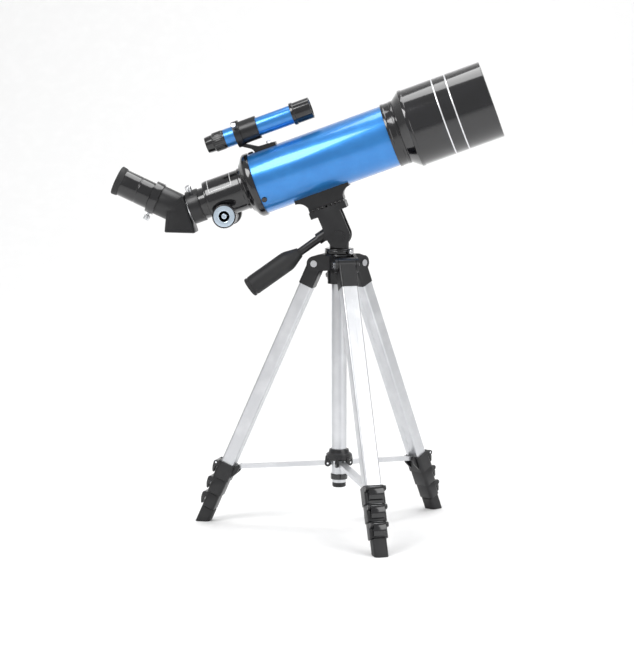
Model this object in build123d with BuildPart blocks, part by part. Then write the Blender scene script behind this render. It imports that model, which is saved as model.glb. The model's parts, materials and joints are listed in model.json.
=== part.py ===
from build123d import *
import os
from math import cos, radians, sin

os.makedirs("parts", exist_ok=True)

# A small refracting telescope on a folding table tripod. Millimetres.
# The floor is Z = 0, the centre column stands on X = Y = 0, and the telescope points to +X.

# ---- tripod: driving dimensions
LEG_AZIMUTHS = (-70.3, 49.7, 169.7)   # degrees from +X
LEG_TILT = 24.2                       # degrees from vertical, legs spread
LEG_LENGTH = 365.0                    # top pivot to sole, along the leg
LEG_PIVOT_RADIUS = 28.5               # top pivots from the column axis
PIVOT_HEIGHT = LEG_LENGTH * cos(radians(LEG_TILT))
TUBE_WIDTH = 20.5                     # outer leg tube, across the leg
TUBE_DEPTH = 17.0                     # outer leg tube, towards the column
TUBE_WALL = 0.8
STAGE_STEP = 2.4                      # each stage is this much smaller than the one around it
STAGE_TOP = 62.0                      # top end of the second stage when closed
STAGE_TOP_STEP = 8.0
COLLAR_TOPS = (281.0, 303.5, 325.0)   # the three clamp collars, along the leg
FOOT_TOP = 345.0
COLLAR_WIDTHS = (25.5, 24.0, 22.5)
COLLAR_RIM = 4.2                      # collar depth beyond the tube depth
KNUCKLE_RADIUS = 9.5
KNUCKLE_WIDTH = 22.4
SLEEVE_END = 30.0
FIT = 0.05                            # radial clearance of turning and sliding fits
GAP = 0.4                             # clearance between parts that only pass each other

# ---- spreader
STRUT_FOOT = 279.6                    # outer strut pivot, along the leg
STRUT_INSET = 14.0                    # outer strut pivot, inwards from the leg's axis
HUB_PIVOT_RADIUS = 12.6
HUB_PIVOT_HEIGHT = 82.0
STRUT_WIDTH = 10.0
STRUT_HEIGHT = 5.0
STRUT_WALL = 1.0
STRUT_PIN = 1.2
HUB_TOP = 100.0

# ---- column
GUIDE_RADIUS = 9.4
COLUMN_RADIUS = 8.5
SHOULDER_TOP = 345.0
SHOULDER_RADIUS = 14.4
GUIDE_BOTTOM = 62.0
LOCK_AZIMUTH = 109.7
LOCK_HEIGHT = 316.0

# ---- head
TILT_HEIGHT = 368.0
PAN_TOP = 352.0
HANDLE_SLOPE = 35.6                   # degrees below horizontal, towards -X
HANDLE_START = 19.0

# ---- telescope: u runs forwards along the optical axis, v runs up from it
PITCH = 20.0
RISE = 94.0                           # optical axis above the tilt axis
TUBE_RADIUS = 38.4
TUBE_BACK = -73.0
TUBE_FRONT = 101.4
CELL_FRONT = 115.4
SHIELD_RADIUS = 48.3
SHIELD_FRONT = 233.0
SHIELD_WALL = 1.2
LENS_RADIUS = 35.0
FOCUSER_BACK = -139.0
FOCUSER_FRONT = -88.5
FOCUSER_RADIUS = 25.5
DRAWTUBE_RADIUS = 19.5
CLAMP_BACK = -163.0
CLAMP_FRONT = -148.0
BARREL_RADIUS = 15.875                # the 1.25 inch push fit
PINION_U = -122.5
PINION_V = -23.0
BEND_U = -173.4                       # where the eyepiece axis meets the optical axis
FINDER_V = 66.0
SADDLE_V = -53.4
PLATFORM_V = -63.9

COLUMN = Plane(origin=(0, 0, 0), x_dir=(0, 0, 1), z_dir=(0, -1, 0))
AHEAD = Vector(cos(radians(PITCH)), 0, sin(radians(PITCH)))
ABOVE = Vector(-sin(radians(PITCH)), 0, cos(radians(PITCH)))
OPTICAL_ORIGIN = Vector(0, 0, TILT_HEIGHT) + ABOVE * RISE
SIDE = Plane(origin=OPTICAL_ORIGIN, x_dir=AHEAD, z_dir=(0, -1, 0))
ALONG = Plane(origin=OPTICAL_ORIGIN, x_dir=ABOVE, z_dir=AHEAD)
FINDER = Plane(origin=OPTICAL_ORIGIN + ABOVE * FINDER_V, x_dir=AHEAD, z_dir=(0, -1, 0))


def turn(plane, outline, mode=Mode.ADD):
    """Turn a closed outline of (along, radius) points about the plane's x axis."""
    with BuildSketch(plane) as section:
        with BuildLine():
            Polyline(*outline, close=True)
        make_face()
    revolve(section.sketch, axis=Axis(plane.origin, plane.x_dir), mode=mode)


def bar(plane, start, end, width, depth, corner, shift=(0, 0), mode=Mode.ADD):
    """Extrude a rounded rectangle between two distances along the plane's normal."""
    with BuildSketch(plane.offset(start)) as section:
        with Locations(shift):
            RectangleRounded(width, depth, corner)
    extrude(section.sketch, amount=end - start, mode=mode)


def rod(plane, start, end, radius, shift=(0, 0), mode=Mode.ADD):
    """Extrude a circle between two distances along the plane's normal."""
    with BuildSketch(plane.offset(start)) as section:
        with Locations(shift):
            Circle(radius)
    extrude(section.sketch, amount=end - start, mode=mode)


def slab(plane, outline, start, end, mode=Mode.ADD):
    """Extrude a closed outline between two distances along the plane's normal."""
    with BuildSketch(plane.offset(start)) as section:
        with BuildLine():
            Polyline(*outline, close=True)
        make_face()
    extrude(section.sketch, amount=end - start, mode=mode)


def save(piece, label):
    """Label a finished piece and write it as STEP."""
    piece.part.label = label
    export_step(piece.part, f"parts/{label}.step")


def radial(azimuth):
    """The unit vector outwards from the column at an azimuth."""
    return Vector(cos(radians(azimuth)), sin(radians(azimuth)), 0)


def upright_plane(azimuth):
    """Radius runs along x and height along y; the normal is across the leg."""
    outwards = radial(azimuth)
    return Plane(origin=(0, 0, 0), x_dir=outwards, z_dir=outwards.cross(Vector(0, 0, 1)))


def leg_planes(azimuth):
    """A leg's cross-section plane (x outwards, normal down the leg) and its side plane (x down the leg)."""
    outwards = radial(azimuth)
    pivot = outwards * LEG_PIVOT_RADIUS + Vector(0, 0, PIVOT_HEIGHT)
    tilt = radians(LEG_TILT)
    down = outwards * sin(tilt) - Vector(0, 0, cos(tilt))
    out = outwards * cos(tilt) + Vector(0, 0, sin(tilt))
    section = Plane(origin=pivot, x_dir=out, z_dir=down)
    side = Plane(origin=pivot, x_dir=down, z_dir=down.cross(out))
    return section, side


# ---------------------------------------------------------------- tripod centre
def shoulder():
    """The moulded shoulder: a sleeve on the guide tube, and a fork of two cheeks for each leg."""
    cheek_inner = KNUCKLE_WIDTH / 2 + GAP
    cheek_outer = cheek_inner + 3.6
    cheek = [(8, PIVOT_HEIGHT - 8), (LEG_PIVOT_RADIUS, PIVOT_HEIGHT - KNUCKLE_RADIUS),
             (LEG_PIVOT_RADIUS, PIVOT_HEIGHT + KNUCKLE_RADIUS), (20, SHOULDER_TOP), (8, SHOULDER_TOP)]
    with BuildPart() as body:
        turn(COLUMN, [(308, 0), (308, SHOULDER_RADIUS), (SHOULDER_TOP, SHOULDER_RADIUS), (SHOULDER_TOP, 0)])
        for azimuth in LEG_AZIMUTHS:
            side = upright_plane(azimuth)
            for start, end in ((cheek_inner, cheek_outer), (-cheek_outer, -cheek_inner)):
                slab(side, cheek, start, end)
                rod(side, start, end, KNUCKLE_RADIUS, (LEG_PIVOT_RADIUS, PIVOT_HEIGHT))
        turn(COLUMN, [(SHOULDER_TOP - 1.8, 0), (SHOULDER_TOP - 1.8, 21), (SHOULDER_TOP, 20), (SHOULDER_TOP, 0)])
        turn(COLUMN, [(300, 0), (300, GUIDE_RADIUS), (360, GUIDE_RADIUS), (360, 0)], Mode.SUBTRACT)
        lock = lock_plane()
        rod(lock, 5, 20, 2.5 + FIT, mode=Mode.SUBTRACT)
        for azimuth in LEG_AZIMUTHS:
            side = upright_plane(azimuth)
            for start, end in ((cheek_inner - 1, cheek_outer + 1), (-cheek_outer - 1, 1 - cheek_inner)):
                rod(side, start, end, 2.0, (LEG_PIVOT_RADIUS, PIVOT_HEIGHT), Mode.SUBTRACT)
    save(body, "shoulder")


def shoulder_screws():
    """Six short screws, one through each cheek, with a round head outside."""
    inner = KNUCKLE_WIDTH / 2 + GAP
    outer = inner + 3.6
    with BuildPart() as body:
        for azimuth in LEG_AZIMUTHS:
            side = upright_plane(azimuth)
            for sign in (1, -1):
                rod(side, sign * inner, sign * outer, 2.0, (LEG_PIVOT_RADIUS, PIVOT_HEIGHT))
                rod(side, sign * outer, sign * (outer + 1.6), 4.2, (LEG_PIVOT_RADIUS, PIVOT_HEIGHT))
    save(body, "shoulder_screws")


def guide_tube():
    """The fixed outer tube that the column slides in, with a stop ring at its lower end."""
    with BuildPart() as body:
        turn(COLUMN, [(GUIDE_BOTTOM, COLUMN_RADIUS + FIT), (GUIDE_BOTTOM, GUIDE_RADIUS + 1.3),
                      (GUIDE_BOTTOM + 7, GUIDE_RADIUS + 1.3), (GUIDE_BOTTOM + 7, GUIDE_RADIUS),
                      (SHOULDER_TOP, GUIDE_RADIUS), (SHOULDER_TOP, COLUMN_RADIUS + FIT)])
    save(body, "guide_tube")


def lock_plane():
    """The plane whose normal is the column lock screw's axis, pointing outwards."""
    outwards = radial(LOCK_AZIMUTH)
    return Plane(origin=(0, 0, LOCK_HEIGHT), x_dir=(0, 0, 1), z_dir=outwards)


def column_lock_knob():
    """The screw that locks the column, with a lobed knob."""
    lock = lock_plane()
    with BuildPart() as body:
        rod(lock, GUIDE_RADIUS + 0.3, 24, 2.5)
        rod(lock, 17, 24, 5)
        rod(lock, 24, 33, 8.5)
        with BuildSketch(lock.offset(24)) as notches:
            with PolarLocations(9.6, 6):
                Circle(2.2)
        extrude(notches.sketch, amount=9, mode=Mode.SUBTRACT)
    save(body, "column_lock_knob")


def centre_column():
    """The sliding centre column tube."""
    with BuildPart() as body:
        turn(COLUMN, [(58, COLUMN_RADIUS - 1), (58, COLUMN_RADIUS), (SHOULDER_TOP + 0.3, COLUMN_RADIUS),
                      (SHOULDER_TOP + 0.3, COLUMN_RADIUS - 1)])
    save(body, "centre_column")


def column_end_cap():
    """The plug in the column's lower end."""
    with BuildPart() as body:
        turn(COLUMN, [(52, 0), (52, COLUMN_RADIUS - 1.2), (53.2, COLUMN_RADIUS), (58, COLUMN_RADIUS),
                      (58, COLUMN_RADIUS - 1), (66, COLUMN_RADIUS - 1), (66, 0)])
    save(body, "column_end_cap")


def pan_base():
    """The fixed lower half of the pan joint, plugged into the column's upper end."""
    with BuildPart() as body:
        turn(COLUMN, [(330, 0), (330, COLUMN_RADIUS - 1), (345.3, COLUMN_RADIUS - 1), (345.3, 17),
                      (346.3, 18), (351, 18), (PAN_TOP, 17), (PAN_TOP, 6), (356, 6), (356, 0)])
    save(body, "pan_base")


# ---------------------------------------------------------------- spreader
def spreader_hub():
    """The ring that slides on the guide tube, with a fork for each strut."""
    slot = STRUT_WIDTH / 2 + GAP
    fork = [(9.4, HUB_PIVOT_HEIGHT), (16.6, HUB_PIVOT_HEIGHT), (15.4, 92), (9.8, 92)]
    pivot = (HUB_PIVOT_RADIUS, HUB_PIVOT_HEIGHT)
    with BuildPart() as body:
        turn(COLUMN, [(86.5, GUIDE_RADIUS + GAP), (86.5, 14.6), (88, 16), (94, 16), (96, 13),
                      (HUB_TOP, 12), (HUB_TOP, GUIDE_RADIUS + GAP)])
        for azimuth in LEG_AZIMUTHS:
            side = upright_plane(azimuth)
            for start, end in ((slot, slot + 2.6), (-slot - 2.6, -slot)):
                slab(side, fork, start, end)
                rod(side, start, end, 4.0, pivot)
                rod(side, start - 1, end + 1, STRUT_PIN, pivot, Mode.SUBTRACT)
        turn(COLUMN, [(70, 0), (70, GUIDE_RADIUS + GAP), (105, GUIDE_RADIUS + GAP), (105, 0)], Mode.SUBTRACT)
    save(body, "spreader_hub")


def hub_pins():
    """The three pins that the struts turn on at the hub."""
    reach = STRUT_WIDTH / 2 + GAP + 2.6
    with BuildPart() as body:
        for azimuth in LEG_AZIMUTHS:
            rod(upright_plane(azimuth), -reach, reach, STRUT_PIN, (HUB_PIVOT_RADIUS, HUB_PIVOT_HEIGHT))
    save(body, "hub_pins")


def strut(number, azimuth):
    """A pressed channel between the hub and the leg's first collar, with a solid eye at each end."""
    section, side = leg_planes(azimuth)
    outer = section.from_local_coords((-STRUT_INSET, 0, STRUT_FOOT))
    inner = radial(azimuth) * HUB_PIVOT_RADIUS + Vector(0, 0, HUB_PIVOT_HEIGHT)
    run = outer - inner
    length = run.length
    plane = Plane(origin=inner, x_dir=run, z_dir=side.z_dir)
    half = STRUT_WIDTH / 2
    with BuildPart() as body:
        with BuildSketch(plane.offset(-half)) as outline:
            with Locations((length / 2, 0)):
                SlotCenterToCenter(length, STRUT_HEIGHT)
        extrude(outline.sketch, amount=STRUT_WIDTH)
        with BuildSketch(plane.offset(STRUT_WALL - half)) as hollow:
            with Locations((length / 2, -STRUT_WALL)):
                Rectangle(length - 14, STRUT_HEIGHT)
        extrude(hollow.sketch, amount=STRUT_WIDTH - 2 * STRUT_WALL, mode=Mode.SUBTRACT)
        for along in (0, length):
            rod(plane, -half - 1, half + 1, STRUT_PIN + FIT, (along, 0), Mode.SUBTRACT)
    save(body, f"strut_{number}")


# ---------------------------------------------------------------- legs
def leg_fittings(number, azimuth):
    """The moulded top knuckle, and the first clamp collar with its ear and pin for the strut."""
    section, side = leg_planes(azimuth)
    half = KNUCKLE_WIDTH / 2
    ear_inner = STRUT_WIDTH / 2 + GAP
    ear_outer = ear_inner + 2.6
    pivot = (STRUT_FOOT, -STRUT_INSET)
    top = COLLAR_TOPS[0]
    depth = TUBE_DEPTH + COLLAR_RIM
    ear = [(top + 1, -TUBE_DEPTH / 2), (STRUT_FOOT - 2.9, -STRUT_INSET), (STRUT_FOOT, -STRUT_INSET - 3),
           (top + 6, -STRUT_INSET - 2), (top + 19, -depth / 2 + 1), (top + 19, -TUBE_DEPTH / 2)]
    with BuildPart() as body:
        rod(side, -half, half, KNUCKLE_RADIUS)
        bar(section, 2, SLEEVE_END, 19.0, KNUCKLE_WIDTH, 3.0)
        bar(section, SLEEVE_END - 18, SLEEVE_END + 1, TUBE_DEPTH, TUBE_WIDTH, 2.5, mode=Mode.SUBTRACT)
        bar(section, top, COLLAR_TOPS[1] - 0.5, depth, COLLAR_WIDTHS[0], 4.0)
        lever_lugs(section, side, 0)
        for start, end in ((ear_inner, ear_outer), (-ear_outer, -ear_inner)):
            slab(side, ear, start, end)
        bar(section, top - 1, top + 19, TUBE_DEPTH, TUBE_WIDTH, 2.5, mode=Mode.SUBTRACT)
        stage_bore(section, 1, top, COLLAR_TOPS[1])
        rod(side, -ear_outer, ear_outer, STRUT_PIN, pivot)
    save(body, f"leg_{number}_fittings")


def stage_size(stage):
    """Depth and width of a leg tube; stage 0 is the outer one."""
    return TUBE_DEPTH - stage * STAGE_STEP, TUBE_WIDTH - stage * STAGE_STEP


def stage_bore(section, stage, start, end):
    """Cut the way through a collar for the stage that slides in it."""
    depth, width = stage_size(stage)
    bar(section, start - 1, end + 1, depth + 2 * GAP, width + 2 * GAP, 2.2, mode=Mode.SUBTRACT)


def lever_pivot(index):
    """A lever's pivot, as (down the leg, outwards)."""
    depth = stage_size(index)[0] + COLLAR_RIM
    return COLLAR_TOPS[index] + 4.5, depth / 2 + 2.6


def lever_lugs(section, side, index):
    """Two lugs on a collar that hold its clamp lever."""
    along, out = lever_pivot(index)
    inner = COLLAR_WIDTHS[index] / 2 - 3.0
    outer = COLLAR_WIDTHS[index] / 2
    for start, end in ((inner, outer), (-outer, -inner)):
        slab(side, [(along - 3, out - 5), (along + 3, out - 5), (along + 3, out), (along - 3, out)], start, end)
        rod(side, start, end, 3.0, (along, out))
        rod(side, start - 1, end + 1, 1.4 + FIT, (along, out), Mode.SUBTRACT)


def leg_tube(number, azimuth):
    """The outer leg tube, with a groove along its outer and inner faces."""
    section, _ = leg_planes(azimuth)
    start = SLEEVE_END - 18
    end = COLLAR_TOPS[0] + 19
    with BuildPart() as body:
        bar(section, start, end, TUBE_DEPTH, TUBE_WIDTH, 2.5)
        bar(section, start - 1, end + 1, TUBE_DEPTH - 2 * TUBE_WALL, TUBE_WIDTH - 2 * TUBE_WALL, 1.7,
            mode=Mode.SUBTRACT)
        for sign in (1, -1):
            bar(section, SLEEVE_END + 0.5, COLLAR_TOPS[0] - 0.5, 0.6, 3.0, 0.2,
                (sign * TUBE_DEPTH / 2, 0), Mode.SUBTRACT)
    save(body, f"leg_{number}_tube")


def leg_stage(number, azimuth, stage):
    """A sliding leg tube; the second and third stages carry a clamp collar, the last one the foot."""
    section, side = leg_planes(azimuth)
    depth, width = stage_size(stage)
    top = STAGE_TOP + STAGE_TOP_STEP * (stage - 1)
    last = stage == 3
    end = FOOT_TOP + 8 if last else COLLAR_TOPS[stage] + 17
    with BuildPart() as body:
        bar(section, top, end, depth, width, 1.8)
        if last:
            bar(section, FOOT_TOP, LEG_LENGTH + 12, 17.0, 17.6, 4.0)
            split(bisect_by=Plane.XY, keep=Keep.TOP)
            bar(section, top - 1, FOOT_TOP, depth - 2 * TUBE_WALL, width - 2 * TUBE_WALL, 1.2,
                mode=Mode.SUBTRACT)
        else:
            collar_end = FOOT_TOP - 0.5 if stage == 2 else COLLAR_TOPS[stage + 1] - 0.5
            bar(section, COLLAR_TOPS[stage], collar_end, depth + COLLAR_RIM, COLLAR_WIDTHS[stage], 4.0)
            lever_lugs(section, side, stage)
            bar(section, top - 1, end + 10, depth - 2 * TUBE_WALL, width - 2 * TUBE_WALL, 1.2,
                mode=Mode.SUBTRACT)
    save(body, f"leg_{number}_stage_{stage + 1}")


def leg_lever(number, azimuth, index):
    """A flip lever: a curved finger plate on two short trunnions."""
    section, side = leg_planes(azimuth)
    along, out = lever_pivot(index)
    half = COLLAR_WIDTHS[index] / 2 - 3.0 - 0.35
    plate = [(along - 1.7, out - 1.6), (along - 2.2, out + 2.0), (along + 1.5, out + 3.4),
             (along + 8, out + 2.6), (along + 13.5, out + 0.4), (along + 14.0, out - 1.6),
             (along + 9, out - 0.6), (along + 3, out - 2.0)]
    with BuildPart() as body:
        slab(side, plate, -half, half)
        rod(side, -half, half, 2.4, (along, out))
        rod(side, -half - 3.0, half + 3.0, 1.4, (along, out))
    save(body, f"leg_{number}_lever_{index + 1}")


# ---------------------------------------------------------------- head
def pan_neck():
    """The turning upper half of the pan joint, with the barrel that the tilt yoke turns on."""
    floor = Plane.XY
    with BuildPart() as body:
        rod(floor, PAN_TOP + 0.3, 360, 12)
        rod(Plane(origin=(0, 0, TILT_HEIGHT), x_dir=(1, 0, 0), z_dir=(0, -1, 0)), -14.1, 14.1, 10.8)
        rod(floor, PAN_TOP, 357, 6 + FIT, mode=Mode.SUBTRACT)
        rod(Plane(origin=(0, 0, TILT_HEIGHT), x_dir=(1, 0, 0), z_dir=(0, -1, 0)), -15, 15, 3 + FIT,
            mode=Mode.SUBTRACT)
    save(body, "pan_neck")


def pan_lock_screw():
    """The small plated screw that locks the pan joint, in the base's rim."""
    plane = pan_lock_plane()
    with BuildPart() as body:
        rod(plane, 18.2, 21.5, 1.6)
        rod(plane, 21.5, 25, 3.4)
    save(body, "pan_lock_screw")


def pan_lock_plane():
    """The plane whose normal is the pan lock screw's axis, pointing outwards."""
    outwards = radial(-48)
    return Plane(origin=(0, 0, 348.6), x_dir=(0, 0, 1), z_dir=outwards)


def tilt_yoke():
    """Two cheeks with the tilt bolt between them, and the socket for the handle."""
    axle = (0, -RISE)
    cheek = [(-14.6, -RISE), (-16, PLATFORM_V), (13, PLATFORM_V), (14.6, -RISE)]
    level = Plane(origin=(0, 0, TILT_HEIGHT), x_dir=(1, 0, 0), z_dir=(0, -1, 0))
    handle = handle_plane()
    with BuildPart() as body:
        for start, end in ((14.5, 18.5), (-18.5, -14.5)):
            slab(SIDE, cheek, start, end)
            rod(SIDE, start, end, 14.6, axle)
        rod(SIDE, 18.5, 20, 7.3, axle)
        rod(SIDE, -20, -18.5, 7.3, axle)
        slab(level, [(-18.5, -6), (-13.2, -6), (-13.2, 8), (-18.5, 8)], -14.6, 14.6)
        rod(handle, -5, 9, 7.2)
        rod(handle, -5.5, 10, 5 + FIT, mode=Mode.SUBTRACT)
        rod(SIDE, -14.6, 14.6, 3, axle)
    save(body, "tilt_yoke")


def handle_plane():
    """The plane whose normal runs down the handle, starting behind the tilt axis."""
    slope = radians(HANDLE_SLOPE)
    return Plane(origin=(-HANDLE_START, 0, TILT_HEIGHT), x_dir=(0, 1, 0), z_dir=(-cos(slope), 0, -sin(slope)))


def handle_rod():
    """The plain rod of the pan handle."""
    with BuildPart() as body:
        rod(handle_plane(), -4, 50, 5)
    save(body, "handle_rod")


def handle_grip():
    """The moulded grip: a cone that widens into a cylinder with a ring at its end."""
    plane = handle_plane()
    axis_plane = Plane(origin=plane.origin, x_dir=plane.z_dir, z_dir=(0, -1, 0))
    with BuildPart() as body:
        turn(axis_plane, [(37, 5), (37, 6.4), (54, 12), (56, 12.5), (109, 12.5), (109.6, 11.9), (111, 11.9),
                          (111.6, 12.5), (113.5, 12.5), (114.5, 11.5), (114.5, 0), (50, 0), (50, 5)])
    save(body, "handle_grip")


def platform():
    """The camera platform, with ribs across its top."""
    ribs = 8
    pitch = 46.8 / ribs
    with BuildPart() as body:
        slab(SIDE, [(-24.8, PLATFORM_V), (22, PLATFORM_V), (22, SADDLE_V - 2.2), (-24.8, SADDLE_V - 2.2)], -19, 19)
        for index in range(ribs):
            left = -24.8 + index * pitch + 1.2
            slab(SIDE, [(left, SADDLE_V - 2.4), (left + pitch - 2.4, SADDLE_V - 2.4), (left + pitch - 2.4, SADDLE_V),
                        (left, SADDLE_V)], -19, 19)
        turn(SCREW, [(PLATFORM_V - 1, 0), (PLATFORM_V - 1, 3.4), (SADDLE_V + 1, 3.4), (SADDLE_V + 1, 0)],
             Mode.SUBTRACT)
    save(body, "platform")


SCREW = Plane(origin=OPTICAL_ORIGIN, x_dir=ABOVE, z_dir=(0, -1, 0))


def camera_screw():
    """The quarter inch screw that holds the telescope on the platform, with its knob."""
    with BuildPart() as body:
        turn(SCREW, [(-78, 0), (-78, 12.4), (-77, 13.2), (-70, 13.2), (-69, 12.4), (-69, 6), (PLATFORM_V, 6),
                     (PLATFORM_V, 3), (SADDLE_V + 7, 3), (SADDLE_V + 7, 0)])
    save(body, "camera_screw")


# ---------------------------------------------------------------- telescope
def saddle():
    """The block between the tube and the platform, hollowed to the tube's curve."""
    with BuildPart() as body:
        with BuildSketch(SIDE.offset(-15)) as outline:
            with BuildLine():
                Polyline((33.5, -30), (-37, -30), (-37, -40))
                ThreePointArc((-37, -40), (-28.5, -43), (-24, -49))
                Polyline((-24, -49), (-24, SADDLE_V), (22, SADDLE_V), (22, -49))
                ThreePointArc((22, -49), (26, -43), (33.5, -40))
                Line((33.5, -40), (33.5, -30))
            make_face()
        extrude(outline.sketch, amount=30)
        rod(ALONG, -50, 50, TUBE_RADIUS, mode=Mode.SUBTRACT)
        turn(SCREW, [(SADDLE_V - 1, 0), (SADDLE_V - 1, 3 + FIT), (SADDLE_V + 8, 3 + FIT), (SADDLE_V + 8, 0)],
             Mode.SUBTRACT)
    save(body, "saddle")


def main_tube():
    """The painted optical tube."""
    with BuildPart() as body:
        rod(ALONG, TUBE_BACK, TUBE_FRONT, TUBE_RADIUS)
        rod(ALONG, TUBE_BACK, TUBE_FRONT, TUBE_RADIUS - 1.2, mode=Mode.SUBTRACT)
    save(body, "main_tube")


def lens_cell():
    """The ring that holds the objective in the front of the tube."""
    inner = TUBE_RADIUS - 1.2
    with BuildPart() as body:
        turn(SIDE, [(93, 33.5), (93, inner), (TUBE_FRONT, inner), (TUBE_FRONT, 40.2), (CELL_FRONT, 40.2),
                    (CELL_FRONT, LENS_RADIUS), (95, LENS_RADIUS), (95, 33.5)])
    save(body, "lens_cell")


def lens_element(back, back_sag, front, front_sag):
    """One lens: its faces cross the axis at back and front, and bow forwards by their sags at the rim."""
    middle = LENS_RADIUS / 2
    with BuildSketch(SIDE) as section:
        with BuildLine():
            Line((back, 0), (front, 0))
            ThreePointArc((front, 0), (front - bow(front_sag, middle), middle), (front - front_sag, LENS_RADIUS))
            Line((front - front_sag, LENS_RADIUS), (back - back_sag, LENS_RADIUS))
            ThreePointArc((back - back_sag, LENS_RADIUS), (back - bow(back_sag, middle), middle), (back, 0))
        make_face()
    revolve(section.sketch, axis=Axis(SIDE.origin, SIDE.x_dir))


def bow(sag, height):
    """How far a spherical face has dropped at a height, from its sag at the rim."""
    if not sag:
        return 0.0
    ball = (LENS_RADIUS ** 2 + sag ** 2) / (2 * sag)
    return ball - (1 if ball > 0 else -1) * (ball ** 2 - height ** 2) ** 0.5


def objective_lenses():
    """The achromat: a rear element and a front double-convex element with an air gap."""
    with BuildPart() as body:
        lens_element(96.0, 0.8, 98.2, -3.0)
        lens_element(98.8, -3.0, 108.0, 3.4)
    save(body, "objective_lenses")


def dew_shield():
    """The wide dew shield: a cone with a raised lip, then a plain cylinder, open at the front."""
    inner = SHIELD_RADIUS - SHIELD_WALL
    with BuildPart() as body:
        turn(SIDE, [(CELL_FRONT, 36.5), (CELL_FRONT, 40), (127, SHIELD_RADIUS), (127, SHIELD_RADIUS + 0.8),
                    (131, SHIELD_RADIUS + 0.8), (131, SHIELD_RADIUS), (SHIELD_FRONT, SHIELD_RADIUS),
                    (SHIELD_FRONT, inner), (130, inner), (117, 37.5), (117, 36.5)])
    save(body, "dew_shield")


def rear_cell():
    """The moulded cone that closes the back of the tube and carries the focuser."""
    inner = TUBE_RADIUS - 1.2
    with BuildPart() as body:
        turn(SIDE, [(-65, 35), (-65, inner), (TUBE_BACK, inner), (TUBE_BACK, 40.5), (-81, 40.5),
                    (FOCUSER_FRONT, 30), (FOCUSER_FRONT, 20.5), (-84.5, 20.5), (-84.5, 28), (-79, 35)])
    save(body, "rear_cell")


def tube_screws():
    """Three cross-head screws around the back of the tube, into the rear cell."""
    with BuildPart() as body:
        for turn_angle in (-32, 88, 208):
            angle = radians(turn_angle)
            outwards = Vector(0, -1, 0) * cos(angle) + ABOVE * sin(angle)
            head = Plane(origin=OPTICAL_ORIGIN + AHEAD * -69, x_dir=AHEAD, z_dir=outwards)
            rod(head, TUBE_RADIUS + 0.02, TUBE_RADIUS + 1.8, 3.6)
    save(body, "tube_screws")


def focuser_body():
    """The focuser's barrel, and below it the housing that the pinion shaft runs in."""
    bore = DRAWTUBE_RADIUS + 0.08
    with BuildPart() as body:
        turn(SIDE, [(-84.5, 0), (-84.5, 20.5), (FOCUSER_FRONT, 20.5), (FOCUSER_FRONT, 26.5), (-92.5, 26.5),
                    (-92.5, FOCUSER_RADIUS), (FOCUSER_BACK, FOCUSER_RADIUS), (FOCUSER_BACK, 0)])
        slab(SIDE, [(-134, -18), (-134, -30), (-128, -36), (-117, -36), (-111, -30), (-111, -18)], -13, 13)
        rod(ALONG, -150, -80, bore, mode=Mode.SUBTRACT)
        rod(SIDE, -26, 26, 3.0 + FIT, (PINION_U, PINION_V), Mode.SUBTRACT)
    save(body, "focuser_body")


def focus_knobs():
    """The pinion shaft with a knob on each end."""
    centre = (PINION_U, PINION_V)
    with BuildPart() as body:
        rod(SIDE, -30, 30, 3.0, centre)
        for sign in (1, -1):
            rod(SIDE, sign * 22, sign * 27, 5.0, centre)
            rod(SIDE, sign * 27, sign * 37, 15.0, centre)
    save(body, "focus_knobs")


def drawtube():
    """The sliding drawtube and the clamp ring at its back, bored for 1.25 inch fittings."""
    bore = BARREL_RADIUS + 0.07
    with BuildPart() as body:
        turn(SIDE, [(-60, 17.8), (-60, DRAWTUBE_RADIUS), (CLAMP_FRONT, DRAWTUBE_RADIUS), (CLAMP_FRONT, 20.8),
                    (CLAMP_BACK, 20.8), (CLAMP_BACK, bore), (CLAMP_FRONT, bore), (CLAMP_FRONT, 17.8)])
        rod(ring_screw_plane(), 10, 22, 1.5 + FIT, mode=Mode.SUBTRACT)
    save(body, "drawtube")


def ring_screw_plane():
    """The plane whose normal is the clamp ring's screw axis, up and towards the near side."""
    return Plane(origin=OPTICAL_ORIGIN + AHEAD * -155.5, x_dir=AHEAD, z_dir=Vector(0, -0.5, 0) + ABOVE * 0.87)


def ring_screw():
    """The plated thumbscrew in the drawtube's clamp ring."""
    plane = ring_screw_plane()
    with BuildPart() as body:
        rod(plane, BARREL_RADIUS + 0.2, 24, 1.5)
        rod(plane, 24, 31, 3.6)
    save(body, "ring_screw")


BEND = Plane(origin=OPTICAL_ORIGIN + AHEAD * BEND_U, x_dir=ABOVE - AHEAD, z_dir=(0, -1, 0))
PRISM_OUTLINE = ((-164, 19), (-166, -31), (-202, -17), (-190, 8))


def inset_outline(amount):
    """The diagonal's outline in (u, v), moved inwards evenly."""
    with BuildSketch(SIDE) as outline:
        with BuildLine():
            Polyline(*PRISM_OUTLINE, close=True)
        make_face()
        if amount:
            offset(amount=-amount, kind=Kind.INTERSECTION, mode=Mode.REPLACE)
    return outline.sketch


def diagonal_housing():
    """The 45 degree diagonal: prism box, nose barrel and eyepiece holder with its clamp ring."""
    bore = BARREL_RADIUS + 0.07
    with BuildPart() as body:
        extrude(inset_outline(0), amount=18, both=True)
        rod(ALONG, -168, CLAMP_FRONT - 1, BARREL_RADIUS)
        turn(BEND, [(5, 0), (5, 18.7), (32.5, 18.7), (32.5, 20.5), (43.1, 20.5), (43.1, 0)])
        extrude(inset_outline(2.0), amount=15.5, both=True, mode=Mode.SUBTRACT)
        rod(ALONG, -175, CLAMP_FRONT, 13.0, mode=Mode.SUBTRACT)
        turn(BEND, [(9, 0), (9, bore), (44, bore), (44, 0)], Mode.SUBTRACT)
        turn(HOLDER_SCREW, [(bore + 0.2, 0), (bore + 0.2, 1.5), (23, 1.5), (23, 3.2), (30, 3.2), (30, 0)])
    save(body, "diagonal_housing")


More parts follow.
